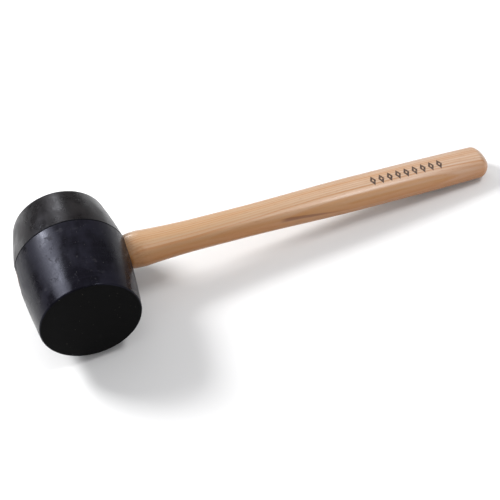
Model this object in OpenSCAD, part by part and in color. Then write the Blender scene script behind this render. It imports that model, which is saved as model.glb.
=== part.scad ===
// Wood-handled rubber mallet, lying at rest on the head's widest ring and the handle's butt.
// Each piece is drawn in the mallet's own axes: X along the handle, Y along the head, Z through
// the handle's flat cheeks, with zero where the two axes cross. at_rest() then lays it down.

/* [Head] */
// Distance from the handle's axis to the striking face on the long side
long_side = 61; // [45:0.5:80]
// Distance from the handle's axis to the striking face on the short side
short_side = 47; // [35:0.5:65]
// Diameter at the parting line, the widest ring of the head
belly_d = 90.6; // [75:0.2:120]
// Distance from the handle's axis to the parting line, towards the short side
parting_y = 4; // [0:0.5:10]
// Diameter where the long side meets its rim
long_face_d = 79; // [62:0.5:110]
// Diameter where the short side meets its rim
short_face_d = 77; // [62:0.5:110]
// How far the long side bows out past a straight line
long_bow = 0.63; // [0:0.01:1.2]
// How far the short side bows out past a straight line
short_bow = 0.52; // [0:0.01:1.2]
// Radius on the rim of both striking faces
rim_r = 1.5; // [0.5:0.1:4]
// Width of the groove that the mould leaves at the parting line
groove_w = 0.8; // [0.4:0.1:2]
// Depth of the parting groove
groove_depth = 0.4; // [0.2:0.1:1]

/* [Handle] */
// Distance from the head's axis to the tip of the butt
handle_reach = 368.8; // [300:0.1:450]
// Width of the neck, where it enters the head
neck_w = 30; // [27:0.1:36]
// Thickness of the neck
neck_t = 22; // [21:0.1:28]
// Distance from the head's widest ring to the crest of the shoulder
shoulder_out = 10.7; // [8:0.1:24]
// Length over which the neck rounds out to the shoulder, from just inside the pocket
shoulder_round = 12; // [8:0.5:14]
// Width at the shoulder
shoulder_w = 32.8; // [28:0.1:40]
// Thickness at the shoulder
shoulder_t = 24.6; // [21:0.1:30]
// Length of the hollow between the shoulder and the waist
hollow_len = 50; // [30:1:60]
// Width at the waist
waist_w = 28.6; // [24:0.1:34]
// Thickness at the waist
waist_t = 21.4; // [18:0.1:26]
// Length of the waist, which keeps its width and thickness
waist_len = 32; // [10:1:40]
// Width of the palm swell
swell_w = 32.4; // [28:0.1:40]
// Thickness of the palm swell
swell_t = 24.3; // [20:0.1:30]
// Length of the palm swell at its full width and thickness
swell_len = 44; // [20:1:60]
// Length at the butt end over which the swell falls away
fall_len = 70; // [30:1:75]
// Width at the butt, where its rounding starts
butt_w = 30.8; // [26:0.1:38]
// Thickness at the butt, where its rounding starts
butt_t = 23.2; // [19:0.1:28]
// Length of the rounding at the butt
butt_round = 9.5; // [5:0.5:14]
// Thickness left at the tip, where the rounding from both cheeks ends
tip_t = 1.2; // [0.6:0.1:8]

/* [Eye and tenon] */
// Width of the tenon, along the head
tenon_w = 27; // [22:0.1:29]
// Thickness of the tenon
tenon_t = 19; // [16:0.1:20]
// Depth of the neck's pocket below the head's widest ring
pocket_depth = 6; // [3:0.5:12]
// How far the tenon's end stands below the head's widest ring
end_setback = 1.5; // [1:0.1:4]
// Gap all round between the tenon and the eye
tenon_fit = 0.1; // [0.05:0.01:0.2]
// Gap all round between the neck and its pocket
neck_fit = 0.2; // [0.1:0.05:0.4]

/* [Wedges] */
// Thickness of the wood wedge at its wide end
wood_thick = 5; // [3:0.1:7]
// Thickness of the wood wedge at its thin end, which is the saw kerf's own width
wood_tip = 1; // [0.6:0.1:2]
// Length of the wood wedge
wood_len = 34; // [24:1:45]
// Length of the saw kerf, deeper than the wedge goes
kerf_len = 40; // [30:1:60]
// Width of a steel wedge, across the wood wedge
steel_w = 13; // [10:0.5:14]
// Thickness of a steel wedge at its wide end
steel_thick = 2.4; // [1.5:0.1:3]
// Thickness of a steel wedge at its thin end
steel_tip = 0.5; // [0.3:0.1:1]
// Length of a steel wedge
steel_len = 15; // [10:1:20]
// Distance between the two steel wedges
steel_pitch = 12; // [9:0.5:13]
// Gap all round between a wedge and the slot that it was driven into
wedge_fit = 0.05; // [0.02:0.01:0.1]

/* [Hidden] */

belly_r = belly_d / 2;
seat_x = belly_r - pocket_depth;
tenon_end = -(belly_r - end_setback);
butt_start = handle_reach - butt_round;
shoulder_x = belly_r + shoulder_out;
hollow_end = shoulder_x + hollow_len;
waist_end = hollow_end + waist_len;
swell_start = butt_start - fall_len - swell_len;
butt_cut = butt_t - tip_t;

// Angle at which the handle droops until the butt's underside reaches the floor
droop = asin(belly_r / norm([butt_start, butt_t / 2])) - atan2(butt_t / 2, butt_start);
// Furthest reach along the floor, at the upper edge of the butt's tip
reach_x = handle_reach * cos(droop) + tip_t / 2 * sin(droop);

// Sections round an oval, rings along the handle, and steps along a curved profile
oval_points = 32;
shoulder_rings = 4;
hollow_rings = 5;
rise_rings = 7;
fall_rings = 4;
butt_rings = 7;
side_steps = 8;
rim_steps = 4;
// Below 2 gives the butt flatter shoulders than a true quarter circle
butt_power = 1.6;
// Above 2 gives the oval fuller corners than a true ellipse
oval_power = 2.2;
// What a cut runs past the faces that it opens
over = 5;
$fn = 96;

// Lays a piece down: droops the handle, then centres the mallet over the floor
module at_rest() {
    translate([-(reach_x - belly_r) / 2, (long_side - short_side) / 2, belly_r])
        rotate([0, droop, 0])
            children();
}

// Power of a number that keeps its sign
function signed_pow(v, p) = sign(v) * pow(abs(v), p);

// Outline of an oval, its thickness along the first axis and its width along the second
function oval(w, t) = [
    for (i = [0 : oval_points - 1])
        let (a = 360 * i / oval_points)
            [t / 2 * signed_pow(cos(a), 2 / oval_power), w / 2 * signed_pow(sin(a), 2 / oval_power)]
];

// Two sizes blended by a share
function blend(a, b, share) = a + (b - a) * share;

// A rise with no slope at either end
function ease(t) = t * t * (3 - 2 * t);

// One side of the head in profile, bowed between two rings
function side(from_y, from_r, to_y, to_r, bow) = [
    for (i = [0 : side_steps])
        let (t = i / side_steps)
            [blend(from_r, to_r, t) + 4 * bow * t * (1 - t), blend(from_y, to_y, t)]
];

// A rim in profile: a quarter round that ends on a striking face, which faces along dir
function rim(face_y, face_r, dir) = [
    for (i = [1 : rim_steps])
        let (a = 90 * i / rim_steps)
            [face_r - rim_r + rim_r * cos(a), face_y - dir * rim_r * (1 - sin(a))]
];

// Points of a list in the opposite order
function reversed(list) = [for (i = [len(list) - 1 : -1 : 0]) list[i]];

// Solid with an oblong section along X, between two places on that axis
module oblong(w, t, from_x, to_x) {
    translate([from_x, 0, 0])
        rotate([0, 90, 0])
            linear_extrude(to_x - from_x) {
                for (end = [-1, 1])
                    translate([0, end * (w - t) / 2])
                        circle(d = t);
                square([t, w - t], center = true);
            }
}

// Head before its eye is cut
module head_blank() {
    long_half = concat(
        side(parting_y - groove_w / 2, belly_r, -long_side + rim_r, long_face_d / 2, long_bow),
        rim(-long_side, long_face_d / 2, -1)
    );
    short_half = concat(
        side(parting_y + groove_w / 2, belly_r, short_side - rim_r, short_face_d / 2, short_bow),
        rim(short_side, short_face_d / 2, 1)
    );
    rotate([-90, 0, 0])
        rotate_extrude()
            polygon(concat(
                [[0, -long_side]],
                reversed(long_half),
                [[belly_r - groove_depth, parting_y]],
                short_half,
                [[0, short_side]]
            ));
}

// Moulded black rubber, with an oval eye and a pocket for the neck
module head() {
    color("#24232a")
        at_rest()
            difference() {
                head_blank();
                oblong(tenon_w + 2 * tenon_fit, tenon_t + 2 * tenon_fit, -belly_r - over, belly_r + over);
                translate([seat_x, 0, 0])
                    rotate([0, 90, 0])
                        linear_extrude(pocket_depth + over)
                            polygon(oval(neck_w + 2 * neck_fit, neck_t + 2 * neck_fit));
            }
}

// Where each ring of the handle stands, with its width and thickness
function neck_stations() = [
    for (i = [0 : shoulder_rings])
        let (t = i / shoulder_rings, swell = sqrt(1 - (1 - t) * (1 - t)))
            [shoulder_x - shoulder_round * (1 - t),
             blend(neck_w, shoulder_w, swell), blend(neck_t, shoulder_t, swell)]
];
function hollow_stations() = [
    for (i = [1 : hollow_rings])
        let (t = i / hollow_rings, left = (1 - t) * (1 - t))
            [blend(shoulder_x, hollow_end, t),
             blend(waist_w, shoulder_w, left), blend(waist_t, shoulder_t, left)]
];
function rise_stations() = [
    for (i = [0 : rise_rings])
        let (t = i / rise_rings)
            [blend(waist_end, swell_start, t),
             blend(waist_w, swell_w, ease(t)), blend(waist_t, swell_t, ease(t))]
];
function fall_stations() = [
    for (i = [0 : fall_rings])
        let (t = i / fall_rings)
            [butt_start - fall_len * (1 - t),
             blend(swell_w, butt_w, t * t), blend(swell_t, butt_t, t * t)]
];
function butt_stations() = [
    for (i = [1 : butt_rings])
        let (a = 90 * i / butt_rings,
             along = pow(sin(a), 2 / butt_power),
             cut = butt_cut * (1 - pow(max(cos(a), 0), 2 / butt_power)))
            [butt_start + butt_round * along, butt_w - cut, butt_t - cut]
];

// Handle outside the eye, from the seat in the pocket to the butt
module grip() {
    stations = concat(
        [[seat_x, neck_w, neck_t]],
        neck_stations(),
        hollow_stations(),
        rise_stations(),
        fall_stations(),
        butt_stations()
    );
    points = [
        for (s = stations)
            for (p = oval(s[1], s[2]))
                [s[0], p[1], -p[0]]
    ];
    last = len(stations) - 1;
    first_cap = [for (i = [0 : oval_points - 1]) i];
    last_cap = [for (i = [oval_points - 1 : -1 : 0]) last * oval_points + i];
    walls = [
        for (r = [0 : last - 1])
            for (i = [0 : oval_points - 1])
                let (j = (i + 1) % oval_points, here = r * oval_points, next = here + oval_points)
                    [here + j, here + i, next + i, next + j]
    ];
    polyhedron(points, concat([first_cap], walls, [last_cap]), convexity = 4);
}

// Profile of a wedge along X, wide at the tenon's end and thin inside, grown by a gap
module taper_profile(thick, tip, length, gap) {
    offset(delta = gap)
        polygon([
            [tenon_end, -thick / 2],
            [tenon_end + length, -tip / 2],
            [tenon_end + length, tip / 2],
            [tenon_end, thick / 2]
        ]);
}

// Wood wedge as it lies in the tenon, across its whole width, grown by a gap
module wood_slab(gap) {
    rotate([90, 0, 0])
        linear_extrude(tenon_w + 2 * over, center = true)
            taper_profile(wood_thick, wood_tip, wood_len, gap);
}

// Steel wedge at one of the two places along the head, grown by a gap
module steel_slab(place, gap) {
    translate([0, place * steel_pitch / 2, 0])
        linear_extrude(steel_w + 2 * gap, center = true)
            taper_profile(steel_thick, steel_tip, steel_len, gap);
}

// Hardwood handle, turned oval, with a sawn tenon
module handle() {
    color("#d6ac8a")
        at_rest()
            union() {
                grip();
                difference() {
                    oblong(tenon_w, tenon_t, tenon_end, seat_x + over);
                    wood_slab(wedge_fit);
                    translate([tenon_end + kerf_len / 2, 0, 0])
                        cube([kerf_len, tenon_w + 2 * over, wood_tip + 2 * wedge_fit], center = true);
                    for (place = [-1, 1])
                        steel_slab(place, wedge_fit);
                }
            }
}

// Hardwood wedge, driven into the kerf and trimmed to the tenon
module wood_wedge() {
    color("#b98a5e")
        at_rest()
            difference() {
                intersection() {
                    wood_slab(0);
                    oblong(tenon_w, tenon_t, tenon_end, tenon_end + wood_len);
                }
                for (place = [-1, 1])
                    steel_slab(place, wedge_fit);
            }
}

// Steel wedge on the head's long side
module steel_wedge_near() {
    color("#9a9ca0")
        at_rest()
            steel_slab(-1, 0);
}

// Steel wedge on the head's short side
module steel_wedge_far() {
    color("#9a9ca0")
        at_rest()
            steel_slab(1, 0);
}

head();
handle();
wood_wedge();
steel_wedge_near();
steel_wedge_far();
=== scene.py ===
import math

import bmesh
import bpy
from mathutils import Matrix, Vector


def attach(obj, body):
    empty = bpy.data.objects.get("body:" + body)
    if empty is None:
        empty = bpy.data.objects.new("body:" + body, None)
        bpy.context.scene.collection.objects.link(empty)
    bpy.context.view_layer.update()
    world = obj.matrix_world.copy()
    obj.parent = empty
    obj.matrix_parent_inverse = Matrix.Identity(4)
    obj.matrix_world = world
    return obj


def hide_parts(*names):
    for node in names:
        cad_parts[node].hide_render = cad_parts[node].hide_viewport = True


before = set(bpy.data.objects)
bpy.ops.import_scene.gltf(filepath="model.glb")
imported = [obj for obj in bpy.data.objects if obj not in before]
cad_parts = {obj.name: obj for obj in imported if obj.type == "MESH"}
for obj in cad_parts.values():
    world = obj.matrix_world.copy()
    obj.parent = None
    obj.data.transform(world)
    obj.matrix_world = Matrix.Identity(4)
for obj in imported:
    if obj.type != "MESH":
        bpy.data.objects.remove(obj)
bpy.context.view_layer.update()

mm = 0.001


# ---------------------------------------------------------------------------------------------
# How the mallet lies. The head rests on its widest ring and the handle droops until the butt
# reaches the floor. Every piece is drawn in the mallet's own axes, X along the handle, Y along
# the head and Z through the handle's flat cheeks, and lay_down then takes it to its place.

belly_radius = 45.3 * mm
long_side = 61 * mm
short_side = 47 * mm
butt_reach = 368.8 * mm
butt_rounding = 9.5 * mm
butt_thickness = 23.2 * mm
tip_thickness = 1.2 * mm

butt_start = butt_reach - butt_rounding
droop = math.asin(belly_radius / math.hypot(butt_start, butt_thickness / 2))
droop -= math.atan2(butt_thickness / 2, butt_start)
reach_on_floor = butt_reach * math.cos(droop) + tip_thickness / 2 * math.sin(droop)
head_place = Vector(((belly_radius - reach_on_floor) / 2, (long_side - short_side) / 2, belly_radius))
lay_down = Matrix.Translation(head_place) @ Matrix.Rotation(droop, 4, "Y")


# ---------------------------------------------------------------------------------------------
# Camera. It looks down on the mallet from the side of the longer striking face, and is rolled
# a little, so that the handle rises to the right.

camera_azimuth = math.radians(-14.746)
camera_elevation = math.radians(47.983)
camera_roll = math.radians(7.419)
camera_distance = 807.3 * mm
camera_aim = Vector((-22.35, -18.11, 24.39)) * mm
focal_length = 71.34
nearest_seen = 0.05
furthest_seen = 20

back = Vector((
    math.sin(camera_azimuth) * math.cos(camera_elevation),
    -math.cos(camera_azimuth) * math.cos(camera_elevation),
    math.sin(camera_elevation),
))
level = (-back).to_track_quat("-Z", "Y").to_matrix().to_4x4()
camera = bpy.data.objects.new("camera", bpy.data.cameras.new("camera"))
camera.data.lens = focal_length
camera.data.sensor_width = 36
camera.data.clip_start = nearest_seen
camera.data.clip_end = furthest_seen
camera_place = Matrix.Translation(camera_aim + back * camera_distance)
camera.matrix_world = camera_place @ level @ Matrix.Rotation(-camera_roll, 4, "Z")
bpy.context.scene.collection.objects.link(camera)
bpy.context.scene.camera = camera


# ---------------------------------------------------------------------------------------------
# Rubber head. One moulding of hard black rubber, drafted both ways from the ring where the two
# halves of the mould met. The oval eye goes right through it, its mouths are softly rounded,
# and a pocket on the handle's side takes the neck.

parting_place = 4 * mm
groove_width = 0.8 * mm
groove_depth = 0.4 * mm
long_face_radius = 39.5 * mm
short_face_radius = 38.5 * mm
long_bow = 0.63 * mm
short_bow = 0.52 * mm
rim_radius = 1.5 * mm
tenon_width = 27 * mm
tenon_thickness = 19 * mm
tenon_gap = 0.1 * mm
neck_width = 30 * mm
neck_thickness = 22 * mm
neck_gap = 0.2 * mm
pocket_depth = 6 * mm
pocket_floor = belly_radius - pocket_depth
mouth_lip = 1.2 * mm
oval_power = 2.2

sliver = 0.0002 * mm
crisp_angle = 35
head_turns = 320
side_rings = 56
rim_rings = 8
face_shares = (0.93, 0.8, 0.6, 0.4, 0.2, 0.05)


def side_radius(share, face_radius, bow):
    """Radius of one side of the head, a share of the way from the parting line to its rim."""
    return belly_radius + (face_radius - belly_radius) * share + 4 * bow * share * (1 - share)


def head_radius(y):
    """Radius of the head's side at a place along it."""
    if y < parting_place:
        share = (parting_place - y) / (parting_place + long_side - rim_radius)
        return side_radius(share, long_face_radius, long_bow)
    share = (y - parting_place) / (short_side - rim_radius - parting_place)
    return side_radius(share, short_face_radius, short_bow)


def half_profile(towards, face_place, face_radius, bow):
    """Points from the parting groove's lip to the centre of a striking face."""
    lip = parting_place + towards * groove_width / 2
    rim_start = face_place - towards * rim_radius
    points = []
    for step in range(side_rings + 1):
        share = step / side_rings
        points.append((lip + (rim_start - lip) * share, side_radius(share, face_radius, bow)))
    for step in range(1, rim_rings + 1):
        turn = math.pi / 2 * step / rim_rings
        points.append((
            rim_start + towards * rim_radius * math.sin(turn),
            face_radius - rim_radius * (1 - math.cos(turn)),
        ))
    for share in face_shares:
        points.append((face_place, (face_radius - rim_radius) * share))
    return points


def oval_point(turn, width, thickness):
    """Y and Z of a point on an oval whose corners are a little fuller than an ellipse's."""
    across = math.copysign(abs(math.cos(turn)) ** (2 / oval_power), math.cos(turn))
    through = math.copysign(abs(math.sin(turn)) ** (2 / oval_power), math.sin(turn))
    return across * width / 2, through * thickness / 2


def mesh_of_rings(name, rings):
    """Skins a list of rings of points, and closes each end with a flat cap."""
    shape = bmesh.new()
    rows = [[shape.verts.new(point) for point in ring] for ring in rings]
    for row, following in zip(rows, rows[1:]):
        for here, there in zip(range(len(row)), list(range(1, len(row))) + [0]):
            shape.faces.new((row[here], row[there], following[there], following[here]))
    shape.faces.new(reversed(rows[0]))
    shape.faces.new(rows[-1])
    bmesh.ops.recalc_face_normals(shape, faces=shape.faces)
    mesh = bpy.data.meshes.new(name)
    shape.to_mesh(mesh)
    shape.free()
    return mesh


def place_piece(name, mesh, material):
    """Makes a mesh an object of the scene, with its own material."""
    piece = bpy.data.objects.new(name, mesh)
    bpy.context.scene.collection.objects.link(piece)
    mesh.materials.clear()
    mesh.materials.append(material)
    return piece


def finished_mesh(piece):
    """The piece's mesh with its modifiers worked in, and the slivers that a cut leaves merged."""
    depsgraph = bpy.context.evaluated_depsgraph_get()
    mesh = bpy.data.meshes.new_from_object(piece.evaluated_get(depsgraph), depsgraph=depsgraph)
    shape = bmesh.new()
    shape.from_mesh(mesh)
    bmesh.ops.remove_doubles(shape, verts=shape.verts, dist=sliver)
    bmesh.ops.dissolve_degenerate(shape, edges=shape.edges, dist=sliver)
    shape.to_mesh(mesh)
    shape.free()
    return mesh


def carve(piece, cutters, operation="DIFFERENCE"):
    """Cuts solids out of a piece, or keeps what is inside one, and removes the cutters."""
    for cutter in cutters:
        cut = piece.modifiers.new("cut", "BOOLEAN")
        cut.operation = operation
        cut.solver = "EXACT"
        cut.object = cutter
    mesh = finished_mesh(piece)
    piece.modifiers.clear()
    piece.data = mesh
    for cutter in cutters:
        bpy.data.objects.remove(cutter)


def smooth_shaded(mesh):
    """Shades a mesh smooth, and keeps its sharp edges crisp."""
    mesh.shade_smooth()
    mesh.set_sharp_from_angle(angle=math.radians(crisp_angle))


class Value:
    """An output of a node tree, which works like a number in an expression."""

    def __init__(self, socket):
        self.socket = socket
        self.tree = socket.id_data

    def node(self, kind, settings=None, inputs=None):
        """Adds any node to this value's tree."""
        made = self.tree.nodes.new(kind)
        for name, setting in (settings or {}).items():
            setattr(made, name, setting)
        for key, value in (inputs or {}).items():
            if isinstance(value, Value):
                self.tree.links.new(value.socket, made.inputs[key])
            else:
                made.inputs[key].default_value = value
        return made

    def maths(self, operation, *terms):
        """Adds a Math node for some terms, and gives back its result."""
        worked = self.node("ShaderNodeMath", {"operation": operation}, dict(enumerate(terms)))
        return Value(worked.outputs[0])

    def __add__(self, other):
        return self.maths("ADD", self, other)

    def __radd__(self, other):
        return self.maths("ADD", other, self)

    def __sub__(self, other):
        return self.maths("SUBTRACT", self, other)

    def __rsub__(self, other):
        return self.maths("SUBTRACT", other, self)

    def __mul__(self, other):
        return self.maths("MULTIPLY", self, other)

    def __rmul__(self, other):
        return self.maths("MULTIPLY", other, self)

    def __truediv__(self, other):
        return self.maths("DIVIDE", self, other)

    def __pow__(self, other):
        return self.maths("POWER", self, other)

    def clamped(self):
        """The value held between 0 and 1."""
        return self.maths("MINIMUM", self.maths("MAXIMUM", self, 0.0), 1.0)

    def between(self, low, high):
        """How far the value has come from one limit to the other, eased at both ends."""
        settings = {"interpolation_type": "SMOOTHSTEP"}
        ranged = self.node("ShaderNodeMapRange", settings, {0: self, 1: low, 2: high})
        return Value(ranged.outputs[0])

    def mixed(self, first, second):
        """A colour that goes from the first to the second as this value goes from 0 to 1."""
        settings = {"data_type": "RGBA"}
        mix = self.node("ShaderNodeMix", settings, {0: self, 6: first, 7: second})
        return Value(mix.outputs[2])

    def noise(self, scale, detail, roughness):
        """Noise at this position."""
        inputs = {"Vector": self, "Scale": scale, "Detail": detail, "Roughness": roughness}
        return Value(self.node("ShaderNodeTexNoise", None, inputs).outputs[0])

    def stretched(self, x, y, z):
        """This position with each direction scaled."""
        scaled = self.node("ShaderNodeVectorMath", {"operation": "MULTIPLY"}, {0: self, 1: (x, y, z)})
        return Value(scaled.outputs[0])

    def bumped(self, strength, depth):
        """A surface direction bent by this height."""
        inputs = {"Strength": strength, "Distance": depth, "Height": self}
        bump = self.node("ShaderNodeBump", None, inputs)
        return Value(bump.outputs[0])


def new_material(name, **fixed):
    """A material, its shader with some sockets set, and the position in the mallet's own axes."""
    material = bpy.data.materials.new(name)
    material.use_nodes = True
    shader = material.node_tree.nodes["Principled BSDF"]
    for socket, value in fixed.items():
        shader.inputs[socket.replace("_", " ")].default_value = value
    coordinates = material.node_tree.nodes.new("ShaderNodeTexCoord")
    own = Value(coordinates.outputs["Object"])
    moved = own.node("ShaderNodeMapping", {"vector_type": "POINT"}, {"Vector": own})
    unlaid = lay_down.inverted()
    moved.inputs["Location"].default_value = unlaid.to_translation()
    moved.inputs["Rotation"].default_value = unlaid.to_euler("XYZ")
    return material, shader, Value(moved.outputs[0])


def feed(shader, **values):
    """Links values to a shader's sockets."""
    for socket, value in values.items():
        value.tree.links.new(value.socket, shader.inputs[socket.replace("_", " ")])


def split(position):
    """The three parts of a position."""
    parts = position.node("ShaderNodeSeparateXYZ", None, {0: position})
    return Value(parts.outputs[0]), Value(parts.outputs[1]), Value(parts.outputs[2])


def black_rubber():
    """Satin black rubber: cool on the long side, a little paler and warmer on the short one."""
    material, shader, position = new_material("black_rubber", Specular_IOR_Level=0.12)
    shader.inputs["Specular Tint"].default_value = (0.72, 0.76, 1.0, 1)
    along = split(position)[1]
    clouds = position.noise(42, 3, 0.5)
    smears = position.stretched(70, 34, 70).noise(1.0, 4, 0.55)
    mottle = position.noise(320, 3, 0.6)
    strokes = position.stretched(24, 620, 24).noise(1.0, 3, 0.6)
    grain = position.noise(2600, 2, 0.6)
    scuffs = position.noise(130, 6, 0.7).between(0.57, 0.66) * clouds.between(0.47, 0.57)
    dust = position.noise(1500, 0, 0.5).between(0.842, 0.860)
    on_short_side = along.between(parting_place - 0.3 * mm, parting_place + 0.3 * mm)
    ragged = position.noise(700, 2, 0.6) * 0.7 * mm
    off_groove = (along - parting_place).maths("ABSOLUTE", along - parting_place) + ragged
    groove = 1 - off_groove.between(0.80 * mm, 1.25 * mm)
    bloom = (smears.between(0.40, 0.62) * 0.7 + strokes.between(0.35, 0.70) * 0.3).clamped()
    cool = bloom.mixed((0.0022, 0.0018, 0.0032, 1), (0.0080, 0.0074, 0.0125, 1))
    warm = bloom.mixed((0.0036, 0.0028, 0.0026, 1), (0.0092, 0.0074, 0.0070, 1))
    sides = on_short_side.mixed(cool, warm)
    scuffed = (scuffs * 0.30).mixed(sides, (0.040, 0.038, 0.041, 1))
    dusty = (dust * 0.5).mixed(scuffed, (0.20, 0.19, 0.18, 1))
    # Painted shade: the parting groove is painted near black, over a band wider than the groove cut in
    # the mesh, and is also made rougher.
    colour = (groove * 0.9).mixed(dusty, (0.0008, 0.0008, 0.0010, 1))
    polished = 1 - along.between(-52 * mm, -34 * mm)
    rough = 0.22 + smears.between(0.36, 0.62) * 0.18 + strokes * 0.06 - polished * 0.07
    rough = rough + scuffs * 0.15 + groove * 0.4
    height = smears * 1.0 + strokes * 0.10 + mottle * 0.20 + grain * 0.06 - scuffs * 0.4
    feed(shader, Base_Color=colour, Roughness=rough, Normal=height.bumped(0.35, 0.35 * mm))
    return material


def struck_rubber():
    """The same rubber on a striking face, ground flat and left matte."""
    material, shader, position = new_material("struck_rubber", Specular_IOR_Level=0.05)
    clouds = position.noise(60, 4, 0.6)
    grit = position.noise(1700, 3, 0.7)
    dust = position.noise(1100, 0, 0.5).between(0.835, 0.855)
    scuffs = position.noise(120, 6, 0.7).between(0.60, 0.75)
    ground = (clouds * 0.6 + grit * 0.4).mixed((0.0026, 0.0026, 0.0027, 1), (0.0048, 0.0047, 0.0048, 1))
    scuffed = (scuffs * 0.3).mixed(ground, (0.016, 0.0155, 0.016, 1))
    colour = (dust * 0.6).mixed(scuffed, (0.20, 0.18, 0.15, 1))
    rough = 0.62 + clouds * 0.18
    height = grit * 0.5 + scuffs * 0.6
    feed(shader, Base_Color=colour, Roughness=rough, Normal=height.bumped(0.4, 0.2 * mm))
    return material


long_half = half_profile(-1, -long_side, long_face_radius, long_bow)
short_half = half_profile(1, short_side, short_face_radius, short_bow)
head_profile = long_half[::-1] + [(parting_place, belly_radius - groove_depth)] + short_half
head_rings = []
for y, radius in head_profile:
    turns = [2 * math.pi * step / head_turns for step in range(head_turns)]
    head_rings.append([(radius * math.cos(turn), y, radius * math.sin(turn)) for turn in turns])
rubber = black_rubber()
head = place_piece("rubber_head", mesh_of_rings("rubber_head", head_rings), rubber)

eye_turns = 128
lip_rings = 7
mouth_clearance = 6 * mm
facing_along = 0.9


def mouth_rings(side, width, thickness):
    """Rings of a cutter at a mouth of the eye, from inside outwards, flared to round its lip."""
    rings = []
    for step in range(lip_rings + 1):
        turn = math.pi / 2 * step / lip_rings
        grown = mouth_lip * (1 - math.cos(turn))
        sunk = mouth_lip * (1 - math.sin(turn))
        ring = []
        for corner in range(eye_turns):
            y, z = oval_point(2 * math.pi * corner / eye_turns, width + 2 * grown, thickness + 2 * grown)
            surface = math.sqrt(head_radius(y) ** 2 - z ** 2)
            ring.append((side * (surface - sunk), y, z))
        rings.append(ring)
    rings.append([(side * (belly_radius + mouth_clearance), y, z) for x, y, z in rings[-1]])
    return rings


def flat_ring(x, width, thickness):
    """An oval ring that stands square across the handle's axis."""
    turns = [2 * math.pi * corner / eye_turns for corner in range(eye_turns)]
    return [(x, *oval_point(turn, width, thickness)) for turn in turns]


eye_width = tenon_width + 2 * tenon_gap
eye_thickness = tenon_thickness + 2 * tenon_gap
pocket_width = neck_width + 2 * neck_gap
pocket_thickness = neck_thickness + 2 * neck_gap
cutter_rings = mouth_rings(-1, eye_width, eye_thickness)[::-1]
cutter_rings.append(flat_ring(pocket_floor, eye_width, eye_thickness))
cutter_rings.append(flat_ring(pocket_floor, pocket_width, pocket_thickness))
cutter_rings += mouth_rings(1, pocket_width, pocket_thickness)
carve(head, [place_piece("eye_cutter", mesh_of_rings("eye_cutter", cutter_rings), rubber)])
head.data.materials.append(struck_rubber())
for facet in head.data.polygons:
    if abs(facet.normal.y) > facing_along and abs(facet.center.y) > short_side - rim_radius:
        facet.material_index = 1
head.data.transform(lay_down)
smooth_shaded(head.data)
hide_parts("head")
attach(head, "root")


# ---------------------------------------------------------------------------------------------
# Handle. One length of hickory, turned oval and sanded, with a tenon for the eye, a shoulder, a
# waist, a palm swell and a rounded butt, under clear lacquer. The tenon's end is sawn down its
# width for the wood wedge.

tenon_end = -(belly_radius - 1.5 * mm)
handle_sizes = {
    "tenon end": tenon_end,
    "tenon width": tenon_width,
    "tenon thickness": tenon_thickness,
    "seat": pocket_floor,
    "neck width": neck_width,
    "neck thickness": neck_thickness,
    "shoulder": belly_radius + 10.7 * mm,
    "shoulder round": 12 * mm,
    "shoulder width": 32.8 * mm,
    "shoulder thickness": 24.6 * mm,
    "hollow length": 50 * mm,
    "waist width": 28.6 * mm,
    "waist thickness": 21.4 * mm,
    "waist length": 32 * mm,
    "swell length": 44 * mm,
    "swell width": 32.4 * mm,
    "swell thickness": 24.3 * mm,
    "fall length": 70 * mm,
    "butt start": butt_start,
    "butt width": 30.8 * mm,
    "butt thickness": butt_thickness,
    "butt rounding": butt_rounding,
    "tip thickness": tip_thickness,
}
handle_rings = 620
handle_turns = 120
butt_share = 0.10
cap_share = 0.02
butt_power = 1.6
merge_distance = 0.005 * mm


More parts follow.
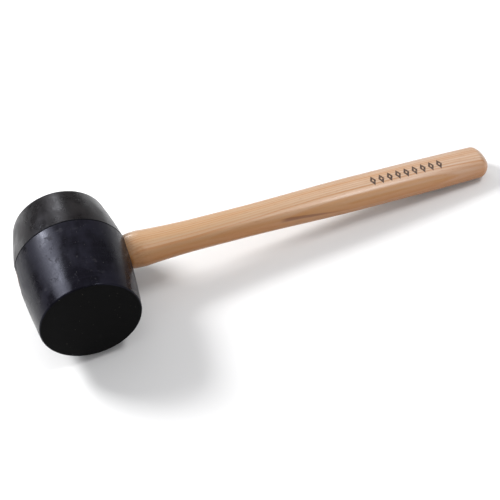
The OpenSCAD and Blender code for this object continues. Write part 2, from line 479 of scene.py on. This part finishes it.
def oval_handle_tree():
    """Geometry Nodes that sweep an oval along X, with a width and a thickness that follow X."""
    tree = bpy.data.node_groups.new("oval_handle", "GeometryNodeTree")
    for name in handle_sizes:
        tree.interface.new_socket(name, in_out="INPUT", socket_type="NodeSocketFloat")
    tree.interface.new_socket("material", in_out="INPUT", socket_type="NodeSocketMaterial")
    tree.interface.new_socket("handle", in_out="OUTPUT", socket_type="NodeSocketGeometry")
    asked = tree.nodes.new("NodeGroupInput")
    size = {name: Value(asked.outputs[name]) for name in handle_sizes}
    index = Value(tree.nodes.new("GeometryNodeInputIndex").outputs[0])

    columns = handle_turns + 1
    ring = index.maths("FLOOR", (index + 0.5) / columns)
    turn = (index - ring * columns) * (2 * math.pi / handle_turns)
    share = ring / (handle_rings - 1)
    straight_share = 1 - butt_share - 2 * cap_share
    straight = ((share - cap_share) / straight_share).clamped()
    bend = ((share - cap_share - straight_share) / butt_share).clamped() * (math.pi / 2)
    closing = (share / cap_share).clamped() * ((1 - share) / cap_share).clamped()

    rounded = bend.maths("SINE", bend) ** (2 / butt_power)
    x = size["tenon end"] + (size["butt start"] - size["tenon end"]) * straight
    x_here = x + size["butt rounding"] * rounded
    left = bend.maths("MAXIMUM", bend.maths("COSINE", bend), 0.0) ** (2 / butt_power)
    cut = (size["butt thickness"] - size["tip thickness"]) * (1 - left)

    in_neck = x.maths("GREATER_THAN", x, size["seat"])
    out = 1 - ((x - size["shoulder"] + size["shoulder round"]) / size["shoulder round"]).clamped()
    crest = out.maths("SQRT", 1 - out * out)
    hollow_left = 1 - ((x - size["shoulder"]) / size["hollow length"]).clamped()
    hollow = 1 - hollow_left * hollow_left
    waist_end = size["shoulder"] + size["hollow length"] + size["waist length"]
    swell_start = size["butt start"] - size["fall length"] - size["swell length"]
    rise_share = ((x - waist_end) / (swell_start - waist_end)).clamped()
    rise = rise_share * rise_share * (3 - rise_share * 2)
    fall_share = 1 - ((size["butt start"] - x) / size["fall length"]).clamped()
    fall = fall_share * fall_share

    def across(kind):
        """Width or thickness of the section at this x."""
        total = size[f"tenon {kind}"]
        total = total + (size[f"neck {kind}"] - size[f"tenon {kind}"]) * in_neck
        total = total + (size[f"shoulder {kind}"] - size[f"neck {kind}"]) * crest
        total = total + (size[f"waist {kind}"] - size[f"shoulder {kind}"]) * hollow
        total = total + (size[f"swell {kind}"] - size[f"waist {kind}"]) * rise
        total = total + (size[f"butt {kind}"] - size[f"swell {kind}"]) * fall
        return (total - cut) * closing

    def full_corner(wave):
        """A wave raised to the oval's power, its sign kept."""
        return wave.maths("SIGN", wave) * wave.maths("ABSOLUTE", wave) ** (2 / oval_power)

    y = full_corner(turn.maths("COSINE", turn)) * across("width") * 0.5
    z = full_corner(turn.maths("SINE", turn)) * across("thickness") * 0.5
    point = x.node("ShaderNodeCombineXYZ", None, {0: x_here, 1: y, 2: z})
    grid = tree.nodes.new("GeometryNodeMeshGrid")
    grid.inputs["Vertices X"].default_value = handle_rings
    grid.inputs["Vertices Y"].default_value = columns
    sweep_inputs = {"Geometry": Value(grid.outputs[0]), "Position": Value(point.outputs[0])}
    swept = x.node("GeometryNodeSetPosition", None, sweep_inputs)
    merge_inputs = {"Geometry": Value(swept.outputs[0]), "Distance": merge_distance}
    merged = x.node("GeometryNodeMergeByDistance", None, merge_inputs)
    real = x.node("GeometryNodeRealizeInstances", None, {"Geometry": Value(merged.outputs[0])})
    coat_inputs = {"Geometry": Value(real.outputs[0]), "Material": Value(asked.outputs["material"])}
    coated = x.node("GeometryNodeSetMaterial", None, coat_inputs)
    result = tree.nodes.new("NodeGroupOutput")
    tree.links.new(coated.outputs[0], result.inputs[0])
    return tree


pith_behind = 95 * mm
pith_below = 50 * mm
ring_spacing = 1.9 * mm
bow_middle = 235 * mm
bow_per_length = 0.12
flame_ring = 64.0
ring_drift = 1.5
ring_waver = 0.4


def growth_rings(position):
    """Distance from the tree's pith, in rings, which bow a little along the handle."""
    x, y, z = split(position)
    drift = position.stretched(5, 45, 45).noise(1.0, 2, 0.5) - 0.5
    waver = position.stretched(22, 150, 150).noise(1.0, 3, 0.55) - 0.5
    depth = y - pith_behind
    height = z + pith_below
    distance = x.maths("SQRT", depth * depth + height * height)
    off_middle = x - bow_middle
    bowed = distance - off_middle * off_middle * bow_per_length
    return bowed / ring_spacing + drift * ring_drift + waver * ring_waver


stamp_middle = 290 * mm
stamp_across = -2.5 * mm
stamp_pitch = 7.8 * mm
stamp_marks = 9
stamp_height = 10.4 * mm
streak_start = 180 * mm
streak_height = 4.1 * mm
streak_fall = 0.085
streak_half_width = 1.9 * mm
streak_narrowing = 0.030


def ink_stamp(position):
    """Mask of a plain row of lozenges, inked on the upper cheek of the grip."""
    x, y, z = split(position)
    along = (x - stamp_middle) / stamp_pitch + stamp_marks / 2
    cell = along.maths("FRACT", along) - 0.5
    row = (y - stamp_across) / stamp_height
    lozenge = cell.maths("ABSOLUTE", cell) * 1.45 + row.maths("ABSOLUTE", row)
    filled = 1 - lozenge.between(0.46, 0.54)
    hollow = lozenge.between(0.12, 0.18)
    ends = along.between(0.0, 0.02) * (1 - along.between(stamp_marks - 0.02, stamp_marks))
    cheek = z.between(6 * mm, 7 * mm)
    worn = position.noise(900, 4, 0.7).between(0.34, 0.52)
    return filled * hollow * ends * cheek * (0.64 + worn * 0.36)


def lacquered_hickory():
    """Clear-lacquered hickory: fine pores, dark where its end is sawn, paler at the grip end for sapwood
    and painted sheen, darker on the near edge for heartwood and painted shade, and darker on the far
    edge as painted shade.
    """
    material, shader, position = new_material("lacquered_hickory", Coat_Roughness=0.24, Coat_IOR=1.45)
    shader.inputs["Coat Weight"].default_value = 0.55
    shader.inputs["Specular IOR Level"].default_value = 0.2
    x, y, z = split(position)
    rings = growth_rings(position)
    phase = rings.maths("FRACT", rings)
    early = phase.between(0.0, 0.12) * (1 - phase.between(0.20, 0.75))
    year = rings.maths("FLOOR", rings)
    yearly = year.node("ShaderNodeTexWhiteNoise", {"noise_dimensions": "1D"}, {"W": year})
    year_tone = Value(yearly.outputs[0])
    streaks = position.stretched(9, 300, 300).noise(1.0, 4, 0.65)
    fibres = position.stretched(60, 2600, 2600).noise(1.0, 3, 0.65)
    patches = position.stretched(9, 45, 45).noise(1.0, 2, 0.5)
    pores = position.stretched(210, 3600, 3600).noise(1.0, 2, 0.5).between(0.60, 0.70)
    pores = pores * (0.30 + early * 0.70)

    golden = patches.mixed((0.408, 0.290, 0.184, 1), (0.360, 0.234, 0.128, 1))
    # Partly painted light: the grip is painted paler and pinker towards the butt, partly for its sapwood
    # and partly as painted sheen and light.
    sapwood_and_sheen = patches.mixed((0.540, 0.425, 0.345, 1), (0.508, 0.378, 0.292, 1))
    pale = x.between(60 * mm, 360 * mm).mixed(golden, sapwood_and_sheen)
    toned = (streaks.between(0.35, 0.65) * 0.50 + year_tone * 0.22).mixed(pale, (0.405, 0.228, 0.110, 1))
    ringed = (early * (0.28 + year_tone * 0.42)).mixed(toned, (0.340, 0.150, 0.052, 1))
    flecks = position.stretched(150, 1100, 1100).noise(1.0, 3, 0.7)
    flecked = (flecks.between(0.50, 0.72) * 0.30).mixed(ringed, (0.420, 0.248, 0.138, 1))
    fibred = (fibres.between(0.45, 0.75) * 0.25).mixed(flecked, (0.365, 0.200, 0.098, 1))
    pored = (pores * 0.55).mixed(fibred, (0.200, 0.095, 0.042, 1))

    flame = rings.between(flame_ring, flame_ring + 0.35)
    side_face = 1 - y.between(-13 * mm, -4 * mm)
    flamed = (flame * 0.45).mixed(pored, (0.400, 0.222, 0.088, 1))
    # Partly painted shade: the near side, turned from the lamps above and behind, is painted darker and
    # more orange, partly for its heartwood and partly as painted shade.
    heartwood_and_shade = side_face * (1 - z.between(0 * mm, 9 * mm) * 0.6)
    near_side_tinted_and_shaded = (heartwood_and_shade * (0.48 + patches * 0.40)).mixed(flamed, (0.385, 0.140, 0.022, 1))
    # Painted shade: the far edge, which the lamps light most strongly, is painted darker and browner.
    far_edge_painted_shade = (y.between(5 * mm, 14 * mm) * 0.48).mixed(near_side_tinted_and_shaded, (0.200, 0.125, 0.082, 1))

    along_streak = x - streak_start
    falling = along_streak.maths("MAXIMUM", along_streak, 0.0)
    streak_middle = streak_height - falling * streak_fall
    streak_half = streak_half_width - falling * streak_narrowing
    streak_off = (z - streak_middle + (streaks - 0.5) * 2.5 * mm) / streak_half
    streak_body = 1 - (streak_off * streak_off).between(0.15, 1.3)
    streak_ends = x.between(168 * mm, 178 * mm) * (1 - x.between(196 * mm, 238 * mm) * 0.9)
    mineral = streak_body * streak_ends * side_face
    stained = (mineral * 0.75).mixed(far_edge_painted_shade, (0.170, 0.066, 0.030, 1))

    speckle = position.stretched(330, 900, 900).noise(1.0, 4, 0.7).between(0.42, 0.66)
    # The handle is darker and speckled round the shoulder beside the head, most strongly on the near
    # side.
    at_shoulder = 1 - x.between(48 * mm, 66 * mm)
    shoulder_darkening = at_shoulder * (0.35 + speckle * 0.65) * (1 - y.between(-9 * mm, 7 * mm) * 0.7)
    darker_at_shoulder = (shoulder_darkening * 0.55).mixed(stained, (0.215, 0.098, 0.038, 1))
    end_grain = 1 - x.between(tenon_end + 0.1 * mm, tenon_end + 0.9 * mm)
    vessels = position.stretched(60, 1500, 1500).noise(1.0, 2, 0.6)
    sawn_end = vessels.between(0.35, 0.65).mixed((0.130, 0.068, 0.034, 1), (0.060, 0.031, 0.017, 1))
    ended = (end_grain * 0.92).mixed(darker_at_shoulder, sawn_end)
    inked = (ink_stamp(position) * 0.95).mixed(ended, (0.030, 0.017, 0.014, 1))
    rough = 0.40 + fibres * 0.10 + pores * 0.15 - patches * 0.06
    height = fibres * 0.20 - pores * 0.55 - early * 0.18
    feed(shader, Base_Color=inked, Roughness=rough, Normal=height.bumped(0.30, 0.12 * mm))
    return material


hickory = lacquered_hickory()
handle = place_piece("hickory_handle", bpy.data.meshes.new("hickory_handle"), hickory)
sweep = handle.modifiers.new("sweep", "NODES")
sweep.node_group = oval_handle_tree()
for socket in sweep.node_group.interface.items_tree:
    if socket.in_out == "INPUT":
        sweep[socket.identifier] = handle_sizes.get(socket.name, hickory)
handle_mesh = finished_mesh(handle)
handle.modifiers.clear()
handle.data = handle_mesh

wedge_gap = 0.05 * mm
wood_wedge_thick = 5 * mm
wood_wedge_tip = 1 * mm
wood_wedge_length = 34 * mm
wedge_overhang = 2 * mm
steel_wedge_width = 13 * mm
steel_wedge_thick = 2.4 * mm
steel_wedge_tip = 0.5 * mm
steel_wedge_length = 15 * mm
steel_wedge_pitch = 12 * mm
cutter_lead = 1.5 * mm


def wedge_mesh(name, thick, tip, length, width, gap=0.0, lead=0.0):
    """A wedge along X, thick at the tenon's end; a lead carries a cutter straight on past it."""
    half = width / 2 + gap
    places = [(tenon_end, thick / 2 + gap), (tenon_end + length + gap, tip / 2 + gap)]
    if lead:
        places.insert(0, (tenon_end - lead, thick / 2 + gap))
    rings = []
    for x, across in places:
        rings.append([(x, -half, -across), (x, half, -across), (x, half, across), (x, -half, across)])
    return mesh_of_rings(name, rings)


def turned_across(mesh, offset):
    """Turns a wedge a quarter round the handle's axis, and moves it along the head."""
    mesh.transform(Matrix.Translation((0, offset, 0)) @ Matrix.Rotation(math.pi / 2, 4, "X"))
    return mesh


def wood_wedge_mesh(gap=0.0, lead=0.0):
    """The wood wedge before it is trimmed, a little wider than the tenon."""
    taper = (wood_wedge_thick, wood_wedge_tip, wood_wedge_length)
    return wedge_mesh("wood_wedge", *taper, tenon_width + wedge_overhang, gap, lead)


def steel_wedge_mesh(place, gap=0.0, lead=0.0):
    """A steel wedge at one of its two places."""
    taper = (steel_wedge_thick, steel_wedge_tip, steel_wedge_length)
    flat = wedge_mesh("steel_wedge", *taper, steel_wedge_width, gap, lead)
    return turned_across(flat, place * steel_wedge_pitch / 2)


def wedge_cutters(with_wood=True):
    """Solids that cut the slots for the wedges."""
    meshes = [steel_wedge_mesh(place, wedge_gap, cutter_lead) for place in (-1, 1)]
    if with_wood:
        meshes.append(wood_wedge_mesh(wedge_gap, cutter_lead))
    return [place_piece("wedge_cutter", mesh, hickory) for mesh in meshes]


carve(handle, wedge_cutters())
handle.data.transform(lay_down)
smooth_shaded(handle.data)
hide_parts("handle")
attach(handle, "root")


# ---------------------------------------------------------------------------------------------
# Wood wedge. A slip of dry hardwood driven into the tenon's kerf and trimmed off with it. It
# spreads the tenon until it grips the rubber.


def raw_wedge_wood():
    """Bare hardwood, sawn across its end."""
    material, shader, position = new_material("wedge_wood", Specular_IOR_Level=0.3)
    fibres = position.stretched(90, 1500, 2400).noise(1.0, 3, 0.6)
    saw_marks = position.stretched(200, 260, 2600).noise(1.0, 2, 0.5)
    base = fibres.mixed((0.24, 0.130, 0.062, 1), (0.15, 0.074, 0.034, 1))
    colour = (saw_marks.between(0.45, 0.70) * 0.4).mixed(base, (0.16, 0.078, 0.035, 1))
    rough = 0.62 + fibres * 0.2
    feed(shader, Base_Color=colour, Roughness=rough, Normal=(fibres + saw_marks).bumped(0.4, 0.15 * mm))
    return material


wedge_trim = 0.1 * mm
wedge_wood = raw_wedge_wood()
wood_wedge = place_piece("wood_wedge_slip", wood_wedge_mesh(), wedge_wood)
trim_rings = [
    flat_ring(tenon_end, tenon_width - 2 * wedge_trim, tenon_thickness),
    flat_ring(tenon_end + wood_wedge_length, tenon_width - 2 * wedge_trim, tenon_thickness),
]
trimmer = place_piece("trimmer", mesh_of_rings("trimmer", trim_rings), hickory)
carve(wood_wedge, [trimmer], "INTERSECT")
carve(wood_wedge, wedge_cutters(with_wood=False))
wood_wedge.data.materials.clear()
wood_wedge.data.materials.append(wedge_wood)
wood_wedge.data.transform(lay_down)
smooth_shaded(wood_wedge.data)
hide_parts("wood_wedge")
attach(wood_wedge, "root")


# ---------------------------------------------------------------------------------------------
# Steel wedges. Two small wedges, sheared from bar and driven across the wood wedge, which lock
# it in the kerf. Their ends are dulled by the hammer and a little rusty.


def wedge_steel():
    """Sheared mild steel with a dull oxide and specks of rust."""
    material, shader, position = new_material("wedge_steel")
    oxide = position.noise(900, 4, 0.65)
    rust = position.noise(520, 5, 0.7).between(0.56, 0.70)
    drawn = position.stretched(700, 700, 5000).noise(1.0, 2, 0.5)
    bright = oxide.mixed((0.40, 0.40, 0.41, 1), (0.23, 0.23, 0.24, 1))
    colour = (rust * 0.7).mixed(bright, (0.17, 0.070, 0.030, 1))
    rough = 0.36 + oxide * 0.22 + rust * 0.25
    metallic = 1 - rust * 0.8
    height = drawn * 0.4 + oxide * 0.6
    normal = height.bumped(0.35, 0.1 * mm)
    feed(shader, Base_Color=colour, Roughness=rough, Metallic=metallic, Normal=normal)
    return material


bevel_segments = 3


def softened(piece, width):
    """Takes the crisp arrises off a piece, and makes the result its mesh."""
    bevel = piece.modifiers.new("arris", "BEVEL")
    bevel.width = width
    bevel.segments = bevel_segments
    bevel.limit_method = "ANGLE"
    bevel.angle_limit = math.radians(crisp_angle)
    mesh = finished_mesh(piece)
    piece.modifiers.clear()
    piece.data = mesh


steel_bevel = 0.15 * mm
steel = wedge_steel()
for place, node in ((-1, "steel_wedge_near"), (1, "steel_wedge_far")):
    steel_wedge = place_piece(f"{node}_driven", steel_wedge_mesh(place), steel)
    softened(steel_wedge, steel_bevel)
    steel_wedge.data.transform(lay_down)
    smooth_shaded(steel_wedge.data)
    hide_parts(node)
    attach(steel_wedge, "root")


# ---------------------------------------------------------------------------------------------
# Floor and lights. A plain pale sheet, four soft boxes, and a pale sky that darkens towards the
# horizon.

floor_size = 6.0
floor_mesh = bpy.data.meshes.new("floor")
corner = floor_size / 2
floor_corners = [(-corner, -corner, 0), (corner, -corner, 0), (corner, corner, 0), (-corner, corner, 0)]
floor_mesh.from_pydata(floor_corners, [], [(0, 1, 2, 3)])
floor_material, floor_shader = new_material("pale_floor", Roughness=0.9)[:2]
floor_shader.inputs["Base Color"].default_value = (0.74, 0.74, 0.74, 1)
floor = place_piece("floor", floor_mesh, floor_material)


def soft_box(name, direction, distance, size, watts):
    """A rectangular light that faces the mallet from a direction."""
    lamp = bpy.data.lights.new(name, "AREA")
    lamp.shape = "RECTANGLE"
    lamp.size = size[0]
    lamp.size_y = size[1]
    lamp.energy = watts
    stand = bpy.data.objects.new(name, lamp)
    towards = Vector(direction).normalized()
    stand.location = towards * distance
    stand.rotation_mode = "QUATERNION"
    stand.rotation_quaternion = (-towards).to_track_quat("-Z", "Y")
    bpy.context.scene.collection.objects.link(stand)


soft_box("long_side_light", (-0.56, 0.52, 0.64), 1.3, (0.36, 0.42), 20)
soft_box("short_side_light", (-0.08, 0.91, 0.40), 1.3, (0.26, 0.28), 2.6)
soft_box("overhead_light", (0.45, -0.11, 0.88), 1.5, (0.55, 0.24), 8)
soft_box("front_fill", (0.72, -0.62, 0.32), 1.5, (0.9, 0.7), 3)
world = bpy.data.worlds.new("studio")
bpy.context.scene.world = world
world.use_nodes = True
world_shader = world.node_tree.nodes["Background"]
direction = Value(world.node_tree.nodes.new("ShaderNodeTexCoord").outputs["Generated"])
to_zenith = split(direction)[2]
sky = to_zenith.between(-0.1, 0.75).mixed((0.16, 0.16, 0.17, 1), (0.62, 0.62, 0.63, 1))
world.node_tree.links.new(sky.socket, world_shader.inputs["Color"])
world_shader.inputs["Strength"].default_value = 1.0
bpy.context.scene.view_settings.view_transform = "Standard"
